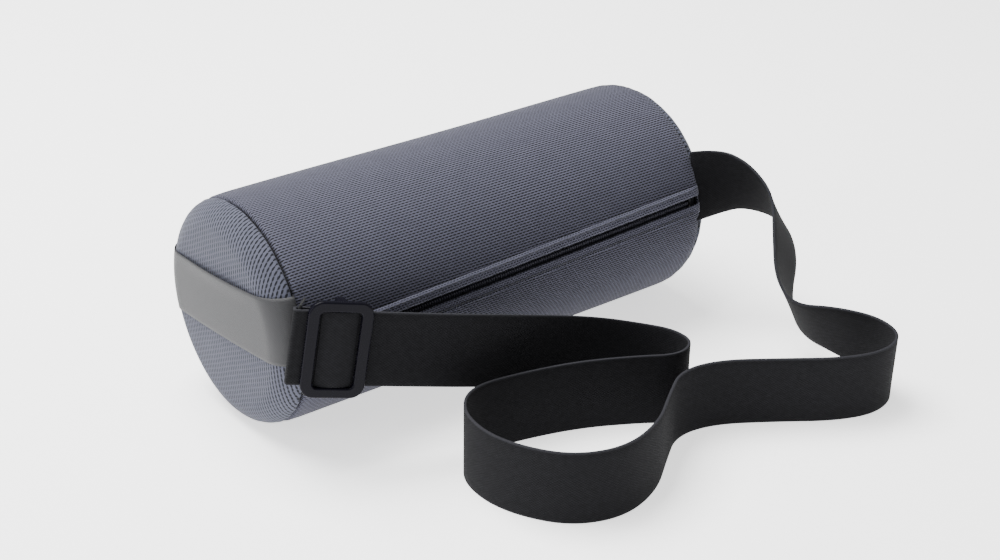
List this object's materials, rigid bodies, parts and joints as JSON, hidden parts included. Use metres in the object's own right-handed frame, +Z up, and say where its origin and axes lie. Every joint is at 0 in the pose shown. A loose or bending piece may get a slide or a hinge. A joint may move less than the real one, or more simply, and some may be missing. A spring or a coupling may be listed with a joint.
{
  "type": "lumbar support cushion",
  "caption": "Cylindrical lumbar support roll in a zipped air-mesh cover, with a label band on one end and a long adjustable elastic strap.",
  "frame": {"origin": "centre of the flat on which the roll rests, under the middle of its length", "axes": "+X along the roll away from the labelled end, +Y away from the zip and strap side, +Z up"},
  "size_m": [0.3115, 0.2583, 0.119],
  "materials": {
    "foam": "matte",
    "mesh_fabric": "matte",
    "binding_tape": "matte",
    "satin_band": "satin",
    "zip_tape": "matte",
    "zip_coil": "satin",
    "dark_metal": "satin",
    "thread": "satin",
    "elastic_webbing": "matte",
    "slide_plastic": "satin"
  },
  "bodies": {
    "cushion": {"foam_core": "foam", "cover_tube": "mesh_fabric", "end_cap_near": "mesh_fabric", "end_cap_far": "mesh_fabric", "seam_binding_near": "binding_tape", "seam_binding_far": "binding_tape", "label_band": "satin_band", "zipper_tape_upper": "zip_tape", "zipper_tape_lower": "zip_tape", "zipper_coil_upper": "zip_coil", "zipper_coil_lower": "zip_coil", "zipper_stop_near": "dark_metal", "zipper_stop_far": "dark_metal", "upper_welt": "binding_tape", "lower_hem": "binding_tape", "upper_topstitching": "thread", "lower_topstitching": "thread", "strap": "elastic_webbing", "strap_fold": "elastic_webbing", "strap_anchor_loop": "elastic_webbing"},
    "zip_slider": {"zipper_slider": "dark_metal"},
    "zip_pull": {"zipper_pull": "dark_metal"},
    "strap_slide": {"strap_slide": "slide_plastic", "strap_sewn_end": "elastic_webbing", "sewn_end_stitching": "thread"}
  },
  "joints": [
    {"name": "zip_travel", "type": "slide", "parent": "cushion", "child": "zip_slider", "axis": [0.9994, 0.0052, 0.035], "range_m": [0, 0.218]},
    {"name": "pull_hinge", "type": "hinge", "parent": "zip_slider", "child": "zip_pull", "pos_m": [-0.10101, -0.0607, 0.06423], "axis": [-0.0354, 0.1477, 0.9884], "range_deg": [-45, 0]},
    {"name": "strap_adjust", "type": "slide", "parent": "cushion", "child": "strap_slide", "axis": [0.921, -0.3433, -0.1842], "range_m": [0, 0.04]}
  ]
}
